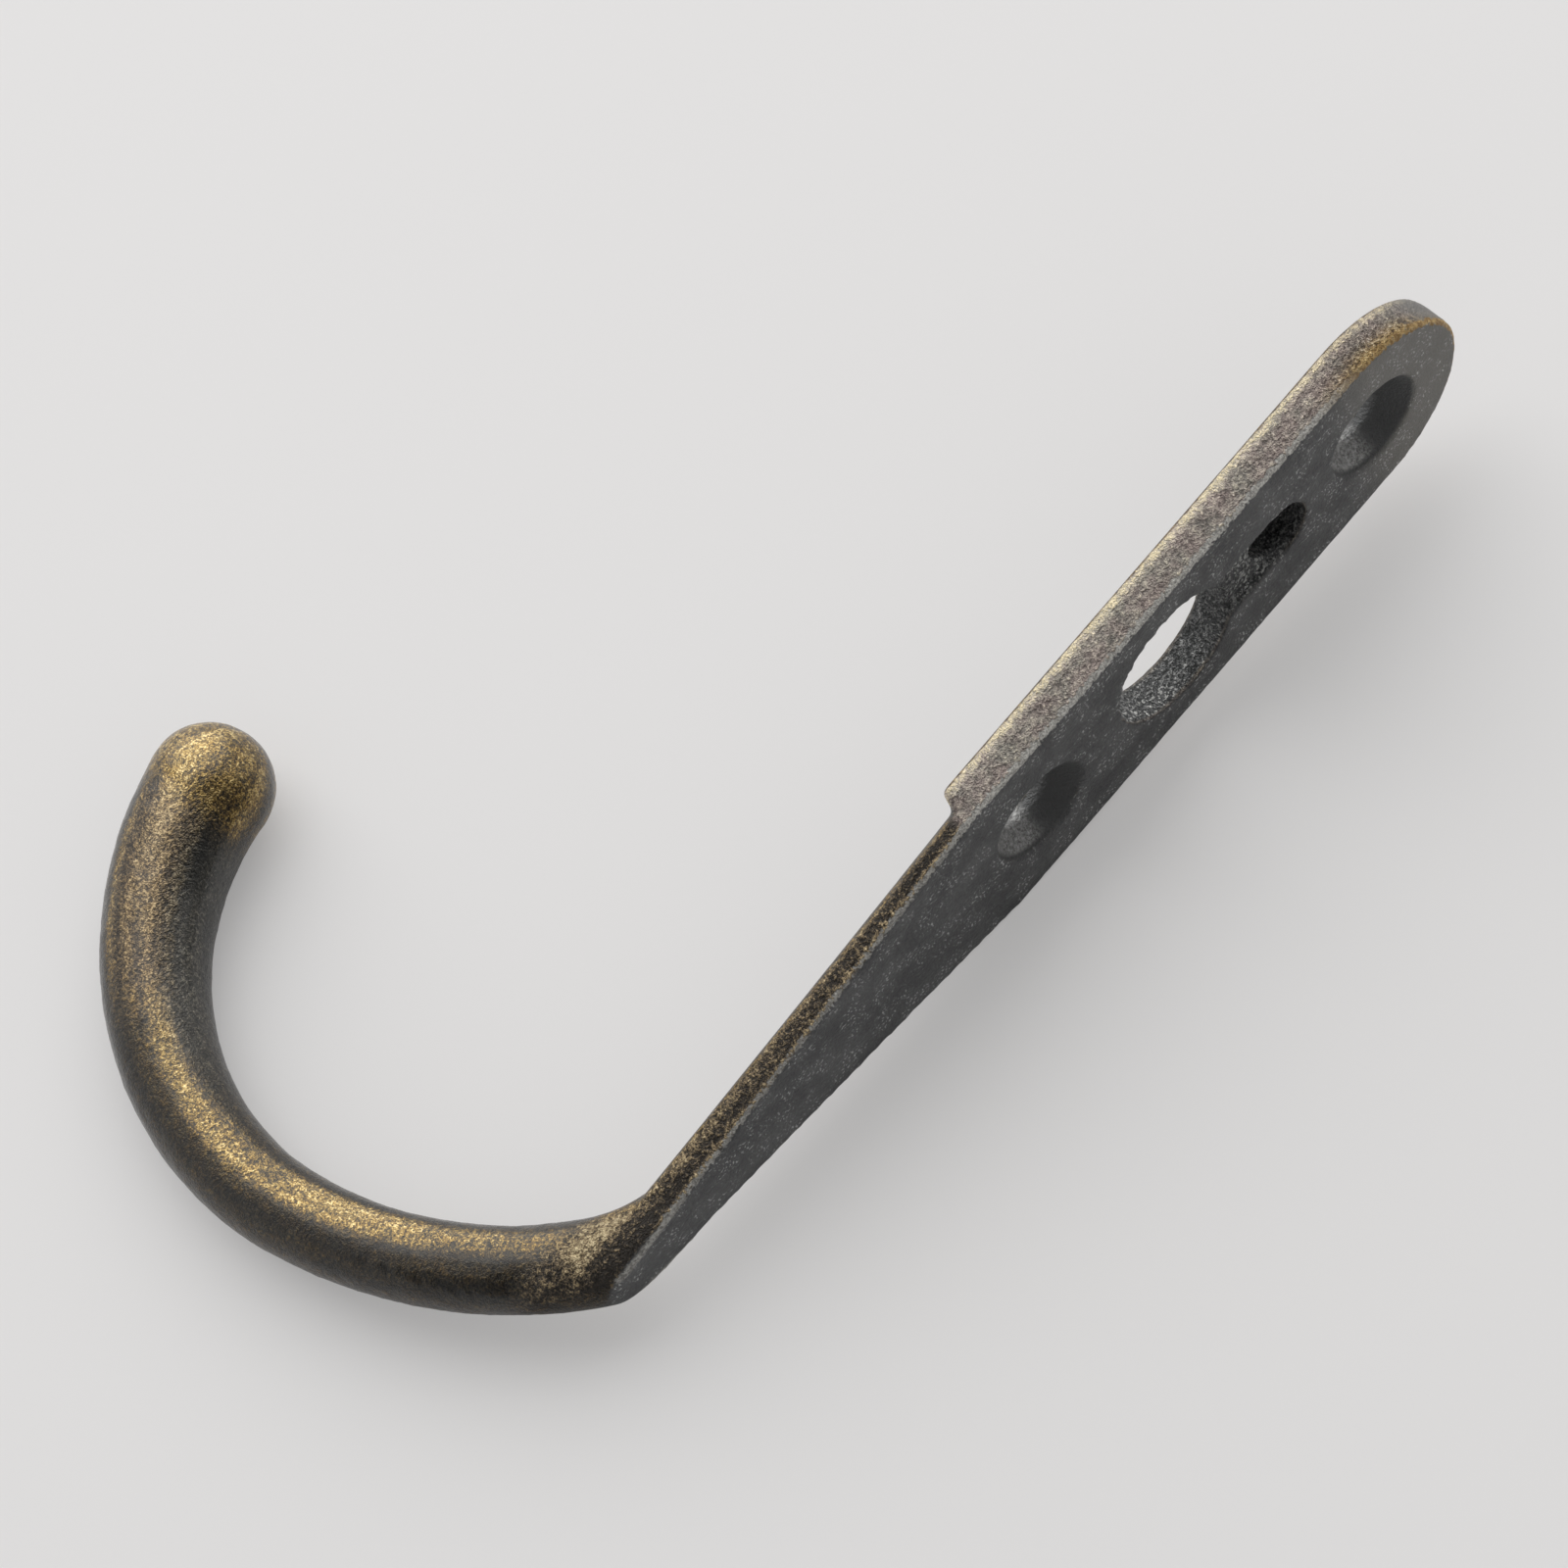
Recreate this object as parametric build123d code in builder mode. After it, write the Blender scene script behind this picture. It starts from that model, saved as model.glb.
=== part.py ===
from build123d import *
import math
import os

# A single-prong coat hook, cast in one piece: a flat mounting plate, a tapering
# half-round stem below it, and a round arm that swings forward and curls up to a
# thick ball-like end.
# Frame: the back face lies on Y = 0 and faces +Y, the arm reaches towards -Y,
# +Z runs up the plate, and the origin is the keyhole's centre. Millimetres.

# Two screw holes, each a straight bore at the front that flares open to the back
screw_spacing = 26.2
screw_pair_height = 2.5
screw_hole_radius = 2.1
screw_flare_radius = 3.2
screw_bore_length = 0.9

# Mounting plate, round at the top and square-ended where it steps down to the stem
plate_width = 12.8
plate_thickness = 2.4
plate_above_screw = 6.5
plate_below_screw = 3.2
plate_front_round = 0.5
back_edge_chamfer = 0.2

# Keyhole: a round through-opening, a shallow slot above it and a pocket at the slot's end
keyhole_radius = 4.2
slot_width = 4.2
slot_depth = 0.5
slot_to_screw_web = 2.2
pocket_radius = 1.9
pocket_floor = 0.8

# Stem: a flat back, side walls that deepen downwards and a crowned front
stem_length = 22.5
stem_front_step = 0.1
stem_top_side = 0.6
stem_foot_side = 1.7
stem_foot_crown = 0.7
stem_side_bow = 0.1
stem_inside_plate = 2.0
stem_tail = 5.7
stem_tail_inset = 0.7
stem_stations = 5

# Arm: a round bar that leaves the stem in a bend, drops forward and curls up
arm_inside_stem = 2.0
bend_radius = 9.6
bend_angle = 40.7
drop_radius = 25.1
drop_angle = 40.0
curl_radius = 17.0
curl_angle = 89.4
root_radius = 2.3
lowest_radius = 2.38
rising_radius = 2.82
neck_radius = 3.45
ball_radius = 3.5

# Heights and depths that follow from the sizes above
lower_screw = screw_pair_height - screw_spacing / 2
upper_screw = screw_pair_height + screw_spacing / 2
plate_top = upper_screw + plate_above_screw
plate_foot = lower_screw - plate_below_screw
half_width = plate_width / 2
flare_depth = plate_thickness - screw_bore_length
flare_angle = 2 * math.degrees(math.atan((screw_flare_radius - screw_hole_radius) / flare_depth))
slot_top = upper_screw - screw_flare_radius - slot_to_screw_web
pocket_depth = plate_thickness - pocket_floor
stem_top_crown = plate_thickness - stem_front_step - stem_top_side
arm_root = plate_foot - stem_length
stem_foot = arm_root - stem_tail
stem_foot_half_width = root_radius - stem_tail_inset


def on_back(height):
    """A plane on the back face at this height, facing out of the back."""
    return Plane(origin=(0, 0, height), x_dir=(-1, 0, 0), z_dir=(0, 1, 0))


with BuildPart() as mounting_plate:
    with BuildSketch(Plane.XZ):
        straight = plate_top - half_width - plate_foot
        with Locations((0, plate_top - half_width)):
            Circle(half_width)
        with Locations((0, plate_foot + straight / 2)):
            Rectangle(plate_width, straight)
    extrude(amount=plate_thickness)
    foot_corners = mounting_plate.edges().filter_by(Axis.Y).group_by(Axis.Z)[0]
    front_rim = mounting_plate.faces().sort_by(Axis.Y)[0].edges()
    fillet(foot_corners + front_rim, plate_front_round)
    back_rim = mounting_plate.faces().sort_by(Axis.Y)[-1].edges()
    chamfer(back_rim.sort_by(Axis.Z)[1:], back_edge_chamfer)

# The stem's side seen from behind: a long shallow arc that narrows to the arm's root
with BuildLine(Plane.XZ) as stem_side:
    SagittaArc(
        (half_width, plate_foot),
        (stem_foot_half_width, stem_foot),
        -stem_side_bow,
    )

with BuildPart() as stem:
    for station in range(stem_stations):
        share = station / (stem_stations - 1)
        side_point = stem_side.line @ share
        reach = side_point.X
        side = stem_top_side + share * (stem_foot_side - stem_top_side)
        crown = stem_top_crown + share * (stem_foot_crown - stem_top_crown)
        with BuildSketch(Plane.XY.offset(side_point.Z)):
            with BuildLine():
                back = Line((-reach, 0), (reach, 0))
                Line(back @ 1, (reach, -side))
                EllipticalCenterArc((0, -side), reach, crown, start_angle=180, arc_size=180)
                Line((-reach, -side), back @ 0)
            make_face()
    loft()
    stem_back = stem.faces().sort_by(Axis.Y)[-1]
    chamfer(stem_back.edges().sort_by(Axis.Z)[1:-1], back_edge_chamfer)
    stem_top = stem.faces().sort_by(Axis.Z)[-1]
    extrude(stem_top, amount=stem_inside_plate)

# The arm's centre line in the plane of symmetry, from inside the stem to the ball
with BuildLine(Plane.YZ) as arm_line:
    inside = Line((0, arm_root + arm_inside_stem), (0, arm_root))
    bend = JernArc(inside @ 1, inside % 1, bend_radius, -bend_angle)
    drop = JernArc(bend @ 1, bend % 1, drop_radius, -drop_angle)
    curl = JernArc(drop @ 1, drop % 1, curl_radius, -curl_angle)
arm_path = arm_line.wire()

with BuildPart() as arm:
    arm_sections = [
        (inside @ 0, inside % 0, root_radius),
        (bend @ 1, bend % 1, root_radius),
        (drop @ 1, drop % 1, lowest_radius),
        (curl @ 0.5, curl % 0.5, rising_radius),
        (curl @ 1, curl % 1, neck_radius),
    ]
    for place, heading, radius in arm_sections:
        with BuildSketch(Plane(origin=place, z_dir=heading)):
            Circle(radius)
    sweep(path=arm_path, multisection=True)
    with Locations(curl @ 1):
        Sphere(ball_radius)
    # The flat back face cuts the bar off where it leaves the stem
    split(bisect_by=Plane.XZ, keep=Keep.TOP)
    cut_face = arm.faces().filter_by(Plane.XZ).sort_by(Axis.Y)[-1]
    chamfer(cut_face.edges().sort_by(Axis.Z)[:-1], back_edge_chamfer)

with BuildPart() as coat_hook:
    add(mounting_plate.part)
    add(stem.part)
    add(arm.part)

    # Screw holes
    with Locations(on_back(lower_screw), on_back(upper_screw)):
        CounterSinkHole(
            radius=screw_hole_radius,
            counter_sink_radius=screw_flare_radius,
            depth=plate_thickness,
            counter_sink_angle=flare_angle,
        )

    # Keyhole
    slot_end = slot_top - slot_width / 2
    with Locations(on_back(0)):
        Hole(keyhole_radius, depth=plate_thickness)
    with BuildSketch(Plane.XZ):
        with Locations((0, slot_end / 2)):
            Rectangle(slot_width, slot_end)
        with Locations((0, slot_end)):
            Circle(slot_width / 2)
    extrude(amount=slot_depth, mode=Mode.SUBTRACT)
    with Locations(on_back(slot_top - pocket_radius)):
        Hole(pocket_radius, depth=pocket_depth)

coat_hook.part.label = "coat_hook"

os.makedirs("parts", exist_ok=True)
export_step(coat_hook.part, "parts/coat_hook.step")
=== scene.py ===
import bmesh
import bpy
import numpy as np
from mathutils import Matrix, Vector


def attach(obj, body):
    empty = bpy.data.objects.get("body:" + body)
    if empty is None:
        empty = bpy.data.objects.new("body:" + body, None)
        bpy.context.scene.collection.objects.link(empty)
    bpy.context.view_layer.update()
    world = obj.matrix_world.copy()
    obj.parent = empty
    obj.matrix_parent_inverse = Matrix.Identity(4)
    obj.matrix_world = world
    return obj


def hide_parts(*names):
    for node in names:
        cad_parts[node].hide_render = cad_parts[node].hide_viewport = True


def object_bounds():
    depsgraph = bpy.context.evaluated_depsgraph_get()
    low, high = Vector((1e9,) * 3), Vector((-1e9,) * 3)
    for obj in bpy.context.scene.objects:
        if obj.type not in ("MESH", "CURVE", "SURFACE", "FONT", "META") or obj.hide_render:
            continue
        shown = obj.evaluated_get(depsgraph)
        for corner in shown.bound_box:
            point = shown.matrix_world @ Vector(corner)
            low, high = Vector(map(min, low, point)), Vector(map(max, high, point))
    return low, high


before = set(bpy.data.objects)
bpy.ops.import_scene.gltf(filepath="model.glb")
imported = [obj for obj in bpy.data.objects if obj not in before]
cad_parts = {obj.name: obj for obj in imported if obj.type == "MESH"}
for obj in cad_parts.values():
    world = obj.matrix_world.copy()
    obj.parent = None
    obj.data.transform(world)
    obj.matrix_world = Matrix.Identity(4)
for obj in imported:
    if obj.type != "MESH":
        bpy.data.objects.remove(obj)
cad_low, cad_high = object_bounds()

# The coat hook: plate, stem and arm poured as one zinc alloy casting. The mould left a rough skin
# on its side walls and in its openings, and tumbling wore its edges and its arm smooth. It is fixed
# to the wall by two screws, with its flat back face against the wall. Lengths are in millimetres.
mm = 0.001
skin_cell = 0.19
skin_smoothing = 3
half_width = cad_high.x / mm
plate_thickness = 2.4
plate_foot = -13.8
crown_centre = cad_high.z / mm - half_width
stem_foot = -42.0
stem_foot_half_width = 1.6
keyhole_radius = 4.2
keyhole_middle = 2.5
ball_height = -37.1
curl_middle = (-20.0, -34.2)
wear_width = 0.27


def grain(points, cell, seed):
    """Random relief from -1 to 1: random values on a lattice, and between them the eight corners
    round each point blended by a smooth cubic weight. The cell is one spacing for all three
    directions, or three of them."""
    side = 48
    lattice = np.random.default_rng(seed).uniform(-1.0, 1.0, (side, side, side))
    place = points / np.array(cell)
    corner = np.floor(place).astype(int)
    share = place - corner
    share = share * share * (3.0 - 2.0 * share)
    value = np.zeros(len(points))
    for step in np.ndindex(2, 2, 2):
        weight = np.prod(np.where(step, share, 1.0 - share), axis=1)
        i, j, k = ((corner + step) % side).T
        value += weight * lattice[i, j, k]
    return value


def ramp(value, start, end):
    """0 at start, 1 at end, with a smooth cubic between them."""
    share = np.clip((value - start) / (end - start), 0.0, 1.0)
    return share * share * (3.0 - 2.0 * share)


def inset(points):
    """How far a point lies inside the outline that the plate and stem show from behind: the half
    width at its height less its distance from the middle, and round the top the crown's radius
    less its distance from the crown's centre."""
    x, z = np.abs(points[:, 0]), points[:, 2]
    along = np.clip((z - plate_foot) / (stem_foot - plate_foot), 0.0, 1.0)
    straight = half_width + along * (stem_foot_half_width - half_width) - x
    crown = half_width - np.hypot(x, z - crown_centre)
    return np.where(z > crown_centre, crown, straight)


def cast_skin(node):
    """The casting's skin in millimetres, as a closed even mesh: the solid's surface, rebuilt in
    cells of one size and smoothed, which rounds its edges as a mould does."""
    shell = bmesh.new()
    shell.from_mesh(node.data)
    bmesh.ops.scale(shell, vec=Vector((1, 1, 1)) / mm, verts=shell.verts)
    bmesh.ops.remove_doubles(shell, verts=shell.verts, dist=0.0005)
    mesh = bpy.data.meshes.new("skin_cells")
    shell.to_mesh(mesh)
    shell.free()
    body = bpy.data.objects.new("skin_cells", mesh)
    bpy.context.scene.collection.objects.link(body)
    cells = body.modifiers.new("cells", "REMESH")
    cells.mode = "VOXEL"
    cells.voxel_size = skin_cell
    even = body.modifiers.new("even", "SMOOTH")
    even.factor = 0.5
    even.iterations = skin_smoothing
    graph = bpy.context.evaluated_depsgraph_get()
    skin = bpy.data.meshes.new_from_object(body.evaluated_get(graph))
    bpy.data.objects.remove(body)
    return skin


skin = cast_skin(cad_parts["coat_hook"])
skin.name = "coat_hook_casting"
count = len(skin.vertices)
points = np.empty(count * 3)
outward = np.empty(count * 3)
skin.vertices.foreach_get("co", points)
skin.vertex_normals.foreach_get("vector", outward)
points = points.reshape(-1, 3)
outward = outward.reshape(-1, 3)

# Regions of the skin, each a share from 0 to 1. A point belongs to one by its height, its depth
# from the wall, how far inside the outline it lies and which way it faces.
height = points[:, 2]
depth = -points[:, 1]
inside = inset(points)
flank = np.abs(outward[:, 0])
backward = outward[:, 1]
forward = -outward[:, 1]
upward = outward[:, 2]
arm = ramp(depth, 2.6, 4.4)
plate_and_stem = 1.0 - arm
back = plate_and_stem * ramp(backward, 0.45, 0.8) * ramp(depth, 0.35, 0.15)
opening = plate_and_stem * ramp(inside, 0.7, 1.1) * ramp(depth, 0.06, 0.2)
opening *= ramp(depth, plate_thickness - 0.05, plate_thickness - 0.3) * ramp(height, -15.5, -14.5)
side = plate_and_stem * (1.0 - opening) * ramp(np.abs(backward), 0.75, 0.45)
stem = ramp(height, plate_foot - 0.3, plate_foot - 0.9)
foot = ramp(height, -35.0, -40.5)
# Under the foot and beside the back face at the foot: painted shade on the stem's walls
foot_tip = ramp(height, -43.3, -44.6)
foot_shade = np.maximum(foot * ramp(depth, 2.0, 1.2), foot_tip) * plate_and_stem
crown = ramp(height, 12.5, 17.0)
crest = ramp(height, 19.0, 21.2)
edge = np.hypot(inside, 0.8 * depth)
# The side walls' front edge, gilded in colour further on, partly as a painted highlight
front_edge = side * ramp(depth, plate_thickness - 0.90, plate_thickness - 0.40)
front_edge *= 1.0 - 0.8 * ramp(height, -42.8, -44.0)
front_rim = plate_and_stem * ramp(forward, 0.25, 0.55) * ramp(forward, 0.98, 0.85)
front_rim *= ramp(depth, 1.7, 2.1) * ramp(inside, 0.9, 0.6)
# The stem's front shoulders, painted bright further on, partly as a painted highlight
shoulder = stem * plate_and_stem * ramp(forward, 0.2, 0.5) * ramp(forward, 0.95, 0.7)

# On the arm, the inner side faces the curl's middle, and streaks run along the bar: they go by the
# angle round the bar and the angle along the curl.
bend_foot = ramp(height, -38.0, -42.0) * ramp(depth, 26.0, 18.0)
low_bend = np.maximum(ramp(height, -43.0, -48.0), bend_foot)
root = arm * ramp(depth, 22.0, 10.0)
ball = ramp(height, ball_height - 3.0, ball_height - 0.4) * ramp(depth, 31.0, 33.5)
rising = ramp(depth, 26.0, 31.0) * ramp(height, -51.0, -46.0) * ramp(height, -37.6, -39.8)
rosy = rising * ramp(flank, 0.78, 0.90)
inward = np.array(curl_middle) - points[:, 1:]
inward /= np.linalg.norm(inward, axis=1)[:, None]
facing_in = (outward[:, 1:] * inward).sum(axis=1)
inner = arm * ramp(facing_in, 0.20, 0.65) * ramp(depth, 20.0, 29.0) * (1.0 - ball)
round_bar = np.arctan2(facing_in, outward[:, 0])
along_bar = np.arctan2(inward[:, 0], inward[:, 1])
bar_place = np.stack([round_bar, along_bar, np.zeros(count)], axis=1)
streak = grain(bar_place, (0.20, 0.40, 1.0), 15)

# What tumbling rubbed bright: the arm's flanks, with a little of its top on the bend and at the
# root, then the ball, the plate's front rim, the stem's front shoulders and the curl's rising part.
# The band on the arm and the bright ball and shoulders are partly a painted highlight, laid where
# the lamp's highlight falls.
# The lean turns the bright band toward the bar's top, where the highlight falls: painted highlight
lean = upward * (0.34 * low_bend + 0.20 * root)
facing_out = flank * (1.0 - 0.06 * low_bend - 0.06 * root) + lean
rubbed_and_highlight = ramp(facing_out, 0.86, 1.0)
for rub_and_highlight in (
    ball * ramp(flank, -0.10, 0.35),
    0.8 * front_rim,
    0.9 * shoulder * ramp(height, -44.5, -43.0),
    0.80 * rising * ramp(flank, 0.70, 0.82),
):
    rubbed_and_highlight = np.maximum(rubbed_and_highlight, rub_and_highlight)

# Openings: crumbs of scale lie in the keyhole, and the screw holes get a painted shadow just inside
# their rims and painted light deeper in, on the walls that face up
keyhole = opening * ramp(np.abs(height - keyhole_middle), 8.6, 7.6)
crumbs = keyhole * (0.25 + 0.75 * ramp(height, 0.5, -2.5)) * ramp(depth, 2.2, 0.3)
slot_crumbs = 0.6 * keyhole * ramp(height, 4.0, 5.0) * ramp(height, 7.5, 6.5)
crumbs = np.maximum(crumbs, slot_crumbs)
screw_hole = opening * (1.0 - keyhole)
rim_shade = screw_hole * ramp(depth, 0.40, 0.2)
rim_shade *= 0.3 + 0.7 * ramp(upward, -0.1, 0.3)
painted_lit_wall = screw_hole * ramp(upward, -0.05, 0.30) * ramp(depth, 0.15, 0.5)

# Relief: pits of three sizes, deepest on the side walls, and shallow waves along the arm
coarse = grain(points, 0.62, 11)
middle = grain(points, 0.34, 12)
fine = grain(points, 0.19, 13)
waves = grain(points, 1.9, 14)
relief = side * (1.0 - 0.8 * crest) * (0.035 * coarse + 0.065 * middle + 0.055 * fine)
relief += keyhole * (0.015 * coarse + 0.035 * middle + 0.025 * fine)
relief += back * (0.010 * coarse + 0.010 * middle + 0.008 * fine)
relief += arm * (0.032 * waves + 0.014 * coarse + 0.012 * middle + 0.008 * fine)
keyhole_rim = ramp(np.abs(np.hypot(points[:, 0], height) - keyhole_radius), 0.6, 0.1)
relief += keyhole_rim * plate_and_stem * ramp(depth, 0.9, 0.3) * 0.030 * middle
points += outward * relief[:, None]
points = np.clip(points * mm, np.array(cad_low), np.array(cad_high))
skin.vertices.foreach_set("co", points.ravel())
skin.polygons.foreach_set("use_smooth", np.ones(len(skin.polygons), bool))
for name, mask in {
    "arm": arm,
    "back": back,
    "opening": opening,
    "side": side,
    "edge": np.minimum(edge, 2.0),
    "front_edge": front_edge,
    "foot": foot,
    "foot_shade": foot_shade,
    "crown": crown,
    "crest": crest,
    "stem": stem,
    "rubbed_and_highlight": rubbed_and_highlight,
    "rosy": rosy,
    "inner": inner,
    "streak": 0.5 + 0.5 * streak * arm,
    "keyhole": keyhole,
    "crumbs": crumbs,
    "rim_shade": rim_shade,
    "painted_lit_wall": painted_lit_wall,
    "relief": np.clip(0.5 + 6.0 * relief, 0.0, 1.0),
}.items():
    skin.attributes.new(name, "FLOAT", "POINT").data.foreach_set("value", mask.astype(np.float32))
skin.update()
casting = bpy.data.objects.new("coat_hook_casting", skin)
bpy.context.scene.collection.objects.link(casting)
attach(casting, "root")
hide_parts("coat_hook")


# The finish: a thin brass plating, darkened by a brown and black patina that was rubbed off again
# where the tumbling reached, so it is bright on the arm, pale on the worn edges and dark on the
# flat back. Some of it is painted light: a highlight on the arm, ball, stem shoulders and front
# edges, and shade in the screw holes and on the stem.
def add(tree, kind, inputs=None, **settings):
    """A node of this kind with its settings, and each named input set to a value or linked."""
    node = tree.nodes.new(kind)
    for name, value in settings.items():
        setattr(node, name, value)
    for name, value in (inputs or {}).items():
        if isinstance(value, bpy.types.NodeSocket):
            tree.links.new(value, node.inputs[name])
        else:
            node.inputs[name].default_value = value
    return node


def mix(tree, share, low, high):
    """The colour that goes from low to high with the share."""
    node = add(tree, "ShaderNodeMix", data_type="RGBA", clamp_factor=True)
    for socket, value in zip((node.inputs[0], node.inputs[6], node.inputs[7]), (share, low, high)):
        if isinstance(value, bpy.types.NodeSocket):
            tree.links.new(value, socket)
        else:
            socket.default_value = value
    return node.outputs[2]


def math(tree, operation, first, second):
    """One arithmetic step between two values."""
    return add(tree, "ShaderNodeMath", {0: first, 1: second}, operation=operation).outputs[0]


def new_material(name):
    """A material with no nodes yet."""
    material = bpy.data.materials.new(name)
    material.use_nodes = True
    material.node_tree.nodes.clear()
    return material


def blotches():
    """Patches of patina: noise of the given patch size, in metres, cut off at the given share of
    the surface that stays bare, with an edge of the given softness."""
    group = bpy.data.node_groups.new("patina_blotches", "ShaderNodeTree")
    group.interface.new_socket("Place", in_out="INPUT", socket_type="NodeSocketVector")
    for name in ("Size", "Middle", "Softness", "Detail"):
        group.interface.new_socket(name, in_out="INPUT", socket_type="NodeSocketFloat")
    group.interface.new_socket("Mask", in_out="OUTPUT", socket_type="NodeSocketFloat")
    given = add(group, "NodeGroupInput").outputs
    scale = math(group, "DIVIDE", 1.0, given["Size"])
    noise = add(
        group,
        "ShaderNodeTexNoise",
        {"Vector": given["Place"], "Scale": scale, "Detail": given["Detail"], "Roughness": 0.62},
    )
    low = math(group, "SUBTRACT", given["Middle"], given["Softness"])
    high = math(group, "ADD", given["Middle"], given["Softness"])
    cut = add(
        group,
        "ShaderNodeMapRange",
        {"Value": noise.outputs[0], "From Min": low, "From Max": high},
        interpolation_type="SMOOTHSTEP",
    )
    add(group, "NodeGroupOutput", {"Mask": cut.outputs[0]})
    return group


def cast_grain():
    """The fine pebbled skin of a sand-like mould: two noises, one half the other's grain size."""
    group = bpy.data.node_groups.new("cast_grain", "ShaderNodeTree")
    group.interface.new_socket("Place", in_out="INPUT", socket_type="NodeSocketVector")
    group.interface.new_socket("Size", in_out="INPUT", socket_type="NodeSocketFloat")
    group.interface.new_socket("Height", in_out="OUTPUT", socket_type="NodeSocketFloat")
    given = add(group, "NodeGroupInput").outputs
    place = given["Place"]
    wide = math(group, "DIVIDE", 1.0, given["Size"])
    tight = math(group, "DIVIDE", 2.1, given["Size"])
    first = add(
        group,
        "ShaderNodeTexNoise",
        {"Vector": place, "Scale": wide, "Detail": 1.0, "Distortion": 0.4},
    )
    second = add(group, "ShaderNodeTexNoise", {"Vector": place, "Scale": tight, "Detail": 2.0})
    both = math(group, "ADD", first.outputs[0], second.outputs[0])
    spread = add(
        group,
        "ShaderNodeMapRange",
        {"Value": math(group, "MULTIPLY", both, 0.5), "From Min": 0.36, "From Max": 0.64},
    )
    add(group, "NodeGroupOutput", {"Height": spread.outputs[0]})
    return group


patina_blotches = blotches()
mould_grain = cast_grain()
finish = new_material("antique_brass_finish")
tree = finish.node_tree
place = add(tree, "ShaderNodeTexCoord").outputs["Object"]


def patches(size, middle, softness, detail):
    """The patches mask on this material, with the size in millimetres."""
    given = {"Size": size * mm, "Middle": middle, "Softness": softness, "Detail": detail}
    node = add(tree, "ShaderNodeGroup", {"Place": place, **given}, node_tree=patina_blotches)
    return node.outputs["Mask"]


def pebbles(size):
    """The grain's height on this material, with the size in millimetres."""
    inputs = {"Place": place, "Size": size * mm}
    return add(tree, "ShaderNodeGroup", inputs, node_tree=mould_grain).outputs["Height"]


def region(name):
    """The share of a region that the casting's own attribute gives."""
    return add(tree, "ShaderNodeAttribute", attribute_name=name).outputs["Fac"]


def times(first, second):
    """Two shares multiplied."""
    return math(tree, "MULTIPLY", first, second)


def plus(first, second):
    """Two shares added."""
    return math(tree, "ADD", first, second)


def minus(first, second):
    """The second share taken from the first."""
    return math(tree, "SUBTRACT", first, second)


def between(value, low, high):
    """The share that rises from 0 at low to 1 at high."""
    node = add(tree, "ShaderNodeMapRange", {"Value": value, "From Min": low, "From Max": high})
    return node.outputs[0]


def tones(value, *stops):
    """The colour at a value between 0 and 1, blended between stops of (value, red, green, blue)."""
    node = add(tree, "ShaderNodeValToRGB", {"Fac": value})
    ramp_stops = node.color_ramp.elements
    while len(ramp_stops) < len(stops):
        ramp_stops.new(0.5)
    for stop, (at, red, green, blue) in zip(ramp_stops, stops):
        stop.position = at
        stop.color = (red, green, blue, 1)
    return node.outputs["Color"]


fine_grain = pebbles(0.17)
broad_grain = pebbles(0.34)
speckle = plus(times(fine_grain, 0.68), times(broad_grain, 0.32))
wall_grain = plus(times(fine_grain, 0.55), times(broad_grain, 0.45))
cloud = patches(3.2, 0.5, 0.22, 3.0)

# Arm: speckled and streaked along the bar where the patina was rubbed through, brass on its flanks
# and near black beyond, with small patches of amber. The brass band is partly a painted highlight,
# and the near black beside it partly a painted dark reflection
bare = times(region("rubbed_and_highlight"), plus(0.22, times(speckle, 0.22)))
mottled = plus(times(cloud, 0.07), times(region("streak"), 0.21))
arm_wear_and_highlight = plus(bare, plus(times(speckle, 0.45), mottled))
arm_colour = tones(
    arm_wear_and_highlight,
    (0.24, 0.026, 0.026, 0.025),
    (0.46, 0.056, 0.048, 0.036),
    (0.62, 0.130, 0.096, 0.050),
    (0.80, 0.290, 0.195, 0.066),
    (1.00, 0.640, 0.500, 0.250),
)
amber_brass = tones(
    arm_wear_and_highlight,
    (0.24, 0.026, 0.024, 0.022),
    (0.50, 0.066, 0.050, 0.032),
    (0.66, 0.160, 0.104, 0.042),
    (0.82, 0.390, 0.255, 0.080),
    (1.00, 0.680, 0.530, 0.250),
)
arm_colour = mix(tree, times(patches(0.8, 0.5, 0.10, 3.0), 0.75), arm_colour, amber_brass)
# The rising part of the curl is rosier, and the curl's inner side keeps a smooth grey patina with a
# few pale specks
streaky = plus(times(speckle, 0.70), times(region("streak"), 0.30))
rosy_colour = tones(
    streaky,
    (0.18, 0.024, 0.020, 0.018),
    (0.50, 0.074, 0.060, 0.049),
    (0.90, 0.300, 0.225, 0.150),
)
arm_colour = mix(tree, times(region("rosy"), 0.65), arm_colour, rosy_colour)
inner_colour = tones(
    streaky,
    (0.20, 0.042, 0.043, 0.041),
    (0.62, 0.090, 0.089, 0.082),
    (0.96, 0.300, 0.290, 0.250),
)
arm_colour = mix(tree, times(region("inner"), 0.75), arm_colour, inner_colour)
# Side walls: rosy and olive grey, dark in the pits and gilt along the front edge, where the gilt is
# partly a painted highlight on the rounded edge
wall_light = plus(times(region("relief"), 0.16), times(region("front_edge"), 0.44))
side_tone_and_highlight = plus(times(wall_grain, 0.60), wall_light)
rosy_wall = tones(
    side_tone_and_highlight,
    (0.14, 0.150, 0.120, 0.110),
    (0.40, 0.330, 0.272, 0.248),
    (0.62, 0.560, 0.480, 0.415),
    (0.92, 0.930, 0.820, 0.590),
)
olive_wall = tones(
    side_tone_and_highlight,
    (0.14, 0.140, 0.132, 0.120),
    (0.40, 0.315, 0.292, 0.254),
    (0.62, 0.540, 0.496, 0.405),
    (0.92, 0.930, 0.810, 0.550),
)
side_colour = mix(tree, patches(1.4, 0.5, 0.20, 2.0), rosy_wall, olive_wall)
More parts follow.
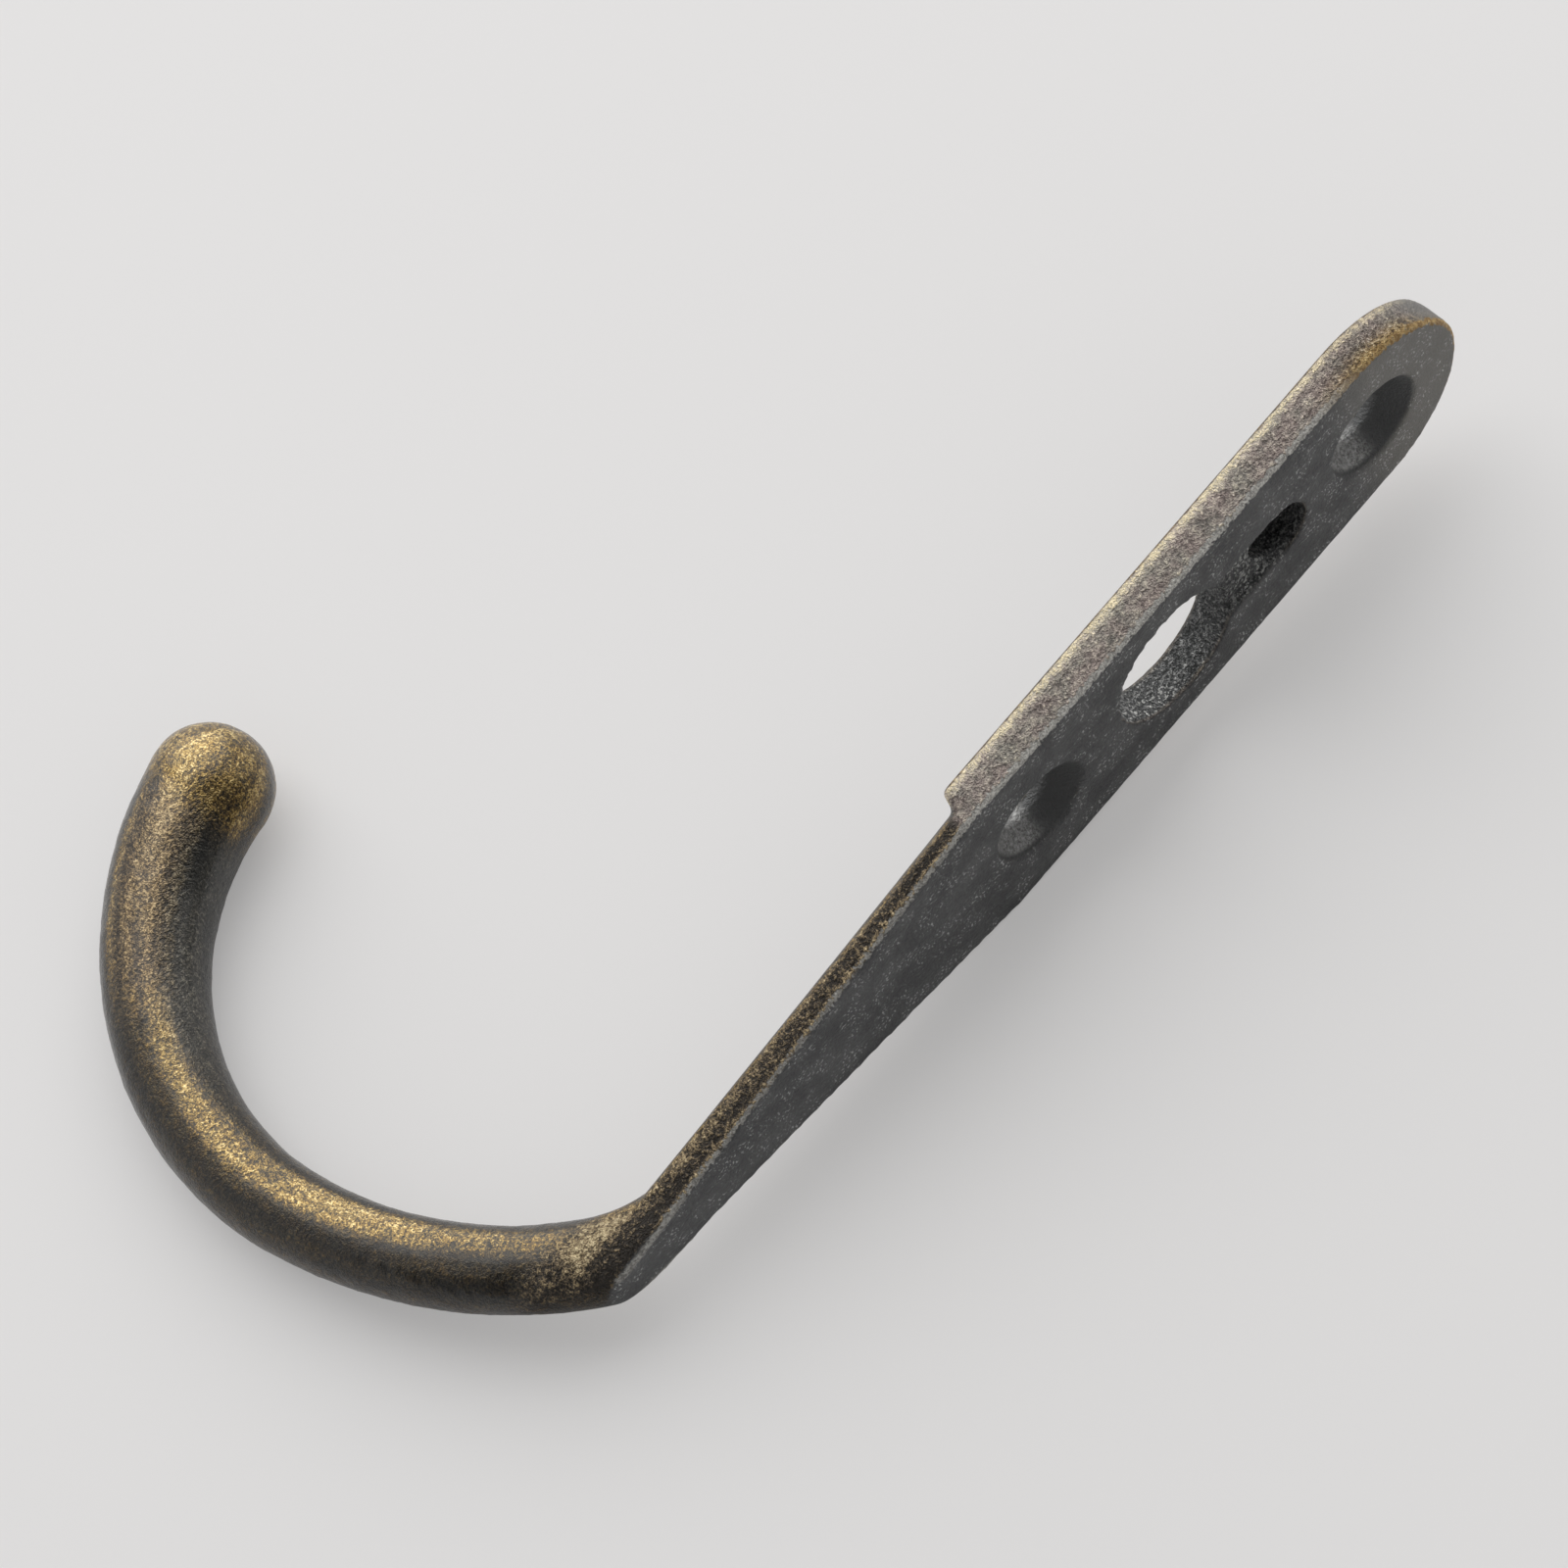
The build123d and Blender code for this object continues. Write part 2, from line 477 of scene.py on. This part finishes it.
# The stem's walls keep more of the brown, darkest along their middle and at the foot, where the
# dark is painted shade, with a painted highlight near their front edge
stem_middle = times(between(region("edge"), 0.30, 0.45), between(region("edge"), 1.00, 0.75))
stem_light = plus(times(region("relief"), 0.22), times(region("front_edge"), 0.18))
stem_dark = plus(times(stem_middle, 0.20), times(region("foot_shade"), 0.20))
stem_tone_light_and_shade = plus(times(wall_grain, 0.74), minus(stem_light, stem_dark))
stem_colour = tones(
    stem_tone_light_and_shade,
    (0.24, 0.034, 0.029, 0.024),
    (0.42, 0.130, 0.102, 0.070),
    (0.60, 0.330, 0.250, 0.145),
    (0.88, 0.720, 0.600, 0.380),
)
side_colour = mix(tree, region("stem"), side_colour, stem_colour)
# The crown keeps a brown patina with amber beside its back edge, and its top is smooth and grey
brown = tones(
    wall_grain,
    (0.20, 0.045, 0.034, 0.028),
    (0.60, 0.150, 0.112, 0.090),
    (0.95, 0.420, 0.330, 0.260),
)
amber = tones(
    broad_grain,
    (0.2, 0.090, 0.058, 0.030),
    (0.5, 0.300, 0.185, 0.050),
    (0.9, 0.640, 0.450, 0.170),
)
crest_grey = (0.150, 0.148, 0.142, 1)
near_edge = between(plus(region("edge"), times(broad_grain, 0.5)), 1.25, 0.55)
side_colour = mix(tree, times(region("crown"), 0.30), side_colour, brown)
side_colour = mix(tree, times(times(region("crown"), near_edge), 0.85), side_colour, amber)
side_colour = mix(tree, times(region("crest"), 0.85), side_colour, crest_grey)
# Back: dark slate with fine pale specks, a little warmer and paler on the crown
crown_slate = (0.250, 0.240, 0.218, 1)
pale_speck = (0.52, 0.52, 0.51, 1)
back_speck = times(patches(0.18, 0.615, 0.03, 1.0), patches(1.6, 0.52, 0.08, 2.0))
slate_grain = plus(times(cloud, 0.45), times(speckle, 0.55))
slate = tones(slate_grain, (0.1, 0.066, 0.068, 0.069), (0.9, 0.164, 0.165, 0.165))
slate = mix(tree, times(region("crown"), 0.65), slate, crown_slate)
back_colour = mix(tree, times(back_speck, 0.85), slate, pale_speck)
# Openings: smooth in the screw holes, with a painted shadow inside their rims and painted light on
# their walls that face up, and rough in the keyhole, with crumbs of pale scale
smooth_grey = (0.135, 0.137, 0.137, 1)
rim_dark = (0.035, 0.036, 0.036, 1)
pale_scale = (0.66, 0.66, 0.63, 1)
rough_wall = tones(
    speckle,
    (0.25, 0.060, 0.062, 0.062),
    (0.65, 0.150, 0.152, 0.152),
    (0.97, 0.420, 0.420, 0.410),
)
lit_wall_colour = mix(tree, speckle, (0.11, 0.11, 0.11, 1), (0.42, 0.42, 0.41, 1))
smooth_wall = mix(tree, region("painted_lit_wall"), smooth_grey, lit_wall_colour)
smooth_wall = mix(tree, times(region("rim_shade"), 0.65), smooth_wall, rim_dark)
opening_colour = mix(tree, region("keyhole"), smooth_wall, rough_wall)
crumb = times(patches(0.21, 0.605, 0.03, 1.0), region("crumbs"))
opening_colour = mix(tree, crumb, opening_colour, pale_scale)
# Worn edges: a ragged line of bare zinc alloy, duller on the stem and its foot, and gilt round the
# plate's crown
zinc = tones(speckle, (0.15, 0.28, 0.270, 0.25), (0.85, 0.74, 0.72, 0.67))
scuffed = tones(broad_grain, (0.2, 0.11, 0.105, 0.095), (0.8, 0.38, 0.37, 0.34))
gilt = tones(broad_grain, (0.2, 0.26, 0.16, 0.06), (0.8, 0.60, 0.42, 0.18))
duller = plus(times(region("stem"), 0.45), times(region("foot"), 0.40))
edge_metal = mix(tree, region("crown"), mix(tree, duller, zinc, scuffed), gilt)
ragged_edge = plus(region("edge"), times(broad_grain, 0.18))
worn_through = times(patches(0.5, 0.30, 0.10, 4.0), minus(1.0, region("opening")))
wear = times(between(ragged_edge, wear_width + 0.09, wear_width + 0.03), worn_through)
colour = mix(tree, region("side"), arm_colour, side_colour)
colour = mix(tree, region("back"), colour, back_colour)
colour = mix(tree, region("opening"), colour, opening_colour)
colour = mix(tree, wear, colour, edge_metal)

# The shader: patina, scale and oxide are duller and less metallic than the rubbed brass, which has
# a thin lacquer on the arm
dull = plus(region("back"), plus(region("opening"), times(region("side"), 0.55)))
roughness = add(
    tree,
    "ShaderNodeMapRange",
    {"Value": plus(dull, times(wear, 0.5)), "To Min": 0.30, "To Max": 0.60},
)
oxide = times(wear, minus(0.85, times(region("crown"), 0.6)))
scale = plus(times(crumb, 0.8), times(times(back_speck, region("back")), 0.4))
patina = plus(times(region("back"), 0.45), times(region("side"), 0.35))
metallic = minus(1.0, plus(patina, plus(scale, oxide)))
wall = times(region("side"), minus(1.0, times(region("crest"), 0.9)))
fine_share = plus(plus(0.55, times(region("back"), 0.5)), plus(times(wall, 1.3), region("keyhole")))
broad_share = plus(0.45, plus(times(wall, 2.0), times(region("keyhole"), 0.8)))
skin_height = plus(times(fine_grain, fine_share), times(broad_grain, broad_share))
bump = add(
    tree,
    "ShaderNodeBump",
    {"Height": skin_height, "Strength": 1.0, "Distance": 0.045 * mm},
)
metal = add(
    tree,
    "ShaderNodeBsdfPrincipled",
    {
        "Base Color": colour,
        "Metallic": metallic,
        "Roughness": roughness.outputs[0],
        "Coat Weight": times(region("arm"), 0.5),
        "Coat Roughness": 0.22,
        "Normal": bump.outputs[0],
    },
)
add(tree, "ShaderNodeOutputMaterial", {"Surface": metal.outputs[0]})
skin.materials.clear()
skin.materials.append(finish)


# The stage: a pale matt sheet that the hook lies on, touching the plate's foot corner and the
# curl's side. Its shadow is lifted a little for the camera only, and from below it lets the view
# through, so the hook shows from every side.
def flat_square(name, corners):
    """An object that is one flat face between four corners."""
    mesh = bpy.data.meshes.new(name)
    mesh.from_pydata(corners, [], [(0, 1, 2, 3)])
    square = bpy.data.objects.new(name, mesh)
    bpy.context.scene.collection.objects.link(square)
    return square


corner_signs = ((-1, -1), (1, -1), (1, 1), (-1, 1))
sheet_up = Vector((0.9962, 0.0230, 0.0836)).normalized()
sheet_point = Vector((-6.4, -0.6, -13.8)) * mm
sheet_reach = 1.2
shadow_lift = 0.34
sheet_across = sheet_up.cross(Vector((0, 0, 1))).normalized()
sheet_along = sheet_up.cross(sheet_across)
pale_sheet = flat_square(
    "pale_sheet",
    [sheet_point + sheet_reach * (a * sheet_across + b * sheet_along) for a, b in corner_signs],
)
if pale_sheet.data.polygons[0].normal.dot(sheet_up) < 0:
    pale_sheet.data.flip_normals()
paper = new_material("pale_paper")
tree = paper.node_tree
matt = add(tree, "ShaderNodeBsdfDiffuse", {"Color": (0.80, 0.79, 0.785, 1)})
clear = add(tree, "ShaderNodeBsdfTransparent")
behind = add(tree, "ShaderNodeNewGeometry").outputs["Backfacing"]
glow = add(tree, "ShaderNodeEmission", {"Color": (0.775, 0.765, 0.76, 1)})
eye = add(tree, "ShaderNodeLightPath").outputs["Is Camera Ray"]
lifted = math(tree, "MULTIPLY", eye, shadow_lift)
front = add(tree, "ShaderNodeMixShader", {0: lifted, 1: matt.outputs[0], 2: glow.outputs[0]})
seen = add(tree, "ShaderNodeMixShader", {0: behind, 1: front.outputs[0], 2: clear.outputs[0]})
add(tree, "ShaderNodeOutputMaterial", {"Surface": seen.outputs[0]})
pale_sheet.data.materials.append(paper)

# The light: one very large soft lamp over the upper left half of the picture, in a pale room that
# shows brighter than it lights, and a dark card on the other side that gives the metal its dark
# tones. The lamp and card aren't seen.
scene = bpy.context.scene
world = bpy.data.worlds.new("pale_room")
world.use_nodes = True
scene.world = world
tree = world.node_tree
tree.nodes.clear()
rays = add(tree, "ShaderNodeLightPath").outputs
shown = math(tree, "MAXIMUM", rays["Is Camera Ray"], rays["Is Glossy Ray"])
shown = math(tree, "MAXIMUM", shown, rays["Is Transmission Ray"])
room = mix(tree, shown, (0.42, 0.42, 0.42, 1), (0.78, 0.77, 0.765, 1))
room_light = add(tree, "ShaderNodeBackground", {"Color": room})
add(tree, "ShaderNodeOutputWorld", {"Surface": room_light.outputs[0]})
hook_middle = Vector((0.0, -18.0, -16.0)) * mm


def facing(spot, target):
    """The turn that points an object's -Z axis from its spot to the target."""
    return (target - spot).to_track_quat("-Z", "Y").to_matrix().to_4x4()


lamp_way = Vector((0.62, -0.63, 0.46)).normalized()
lamp_distance = 0.60
lamp_spot = hook_middle + lamp_distance * lamp_way
lamp_light = bpy.data.lights.new("soft_lamp", "AREA")
lamp_light.size = 1.0
lamp_light.energy = 5.1
lamp = bpy.data.objects.new("soft_lamp", lamp_light)
scene.collection.objects.link(lamp)
lamp.matrix_world = Matrix.Translation(lamp_spot) @ facing(lamp_spot, hook_middle)
lamp.visible_camera = False

card_way = Vector((0.45, 0.85, -0.28)).normalized()
card_distance = 0.42
card_half = 0.62
card_spot = hook_middle + card_distance * card_way
card = flat_square("dark_card", [(card_half * a, card_half * b, 0) for a, b in corner_signs])
card.matrix_world = Matrix.Translation(card_spot) @ facing(card_spot, hook_middle)
card.visible_camera = False
card.visible_diffuse = False
card.visible_shadow = False
card_felt = new_material("dark_felt")
tree = card_felt.node_tree
felt = add(tree, "ShaderNodeEmission", {"Color": (0.10, 0.10, 0.10, 1)})
add(tree, "ShaderNodeOutputMaterial", {"Surface": felt.outputs[0]})
card.data.materials.append(card_felt)

# The camera, about 28 cm from the hook and looking down at its back and side as it lies. Its place,
# turn and lens come from a fit to the hook's outlines.
camera_spot = Vector((254.685, 99.898, -40.479)) * mm
camera_forward = Vector((-0.91246, -0.40025, 0.08156)).normalized()
camera_up = Vector((0.31980, -0.57604, 0.75204))
camera_right = camera_forward.cross(camera_up).normalized()
camera_up = camera_right.cross(camera_forward)
camera_data = bpy.data.cameras.new("camera")
camera_data.sensor_width = 36.0
camera_data.lens = 124.23
camera_data.clip_start = 0.01
camera_data.clip_end = 10.0
camera = bpy.data.objects.new("camera", camera_data)
scene.collection.objects.link(camera)
turn = Matrix((camera_right, camera_up, -camera_forward)).transposed().to_4x4()
camera.matrix_world = Matrix.Translation(camera_spot) @ turn
scene.camera = camera
scene.view_settings.view_transform = "Standard"
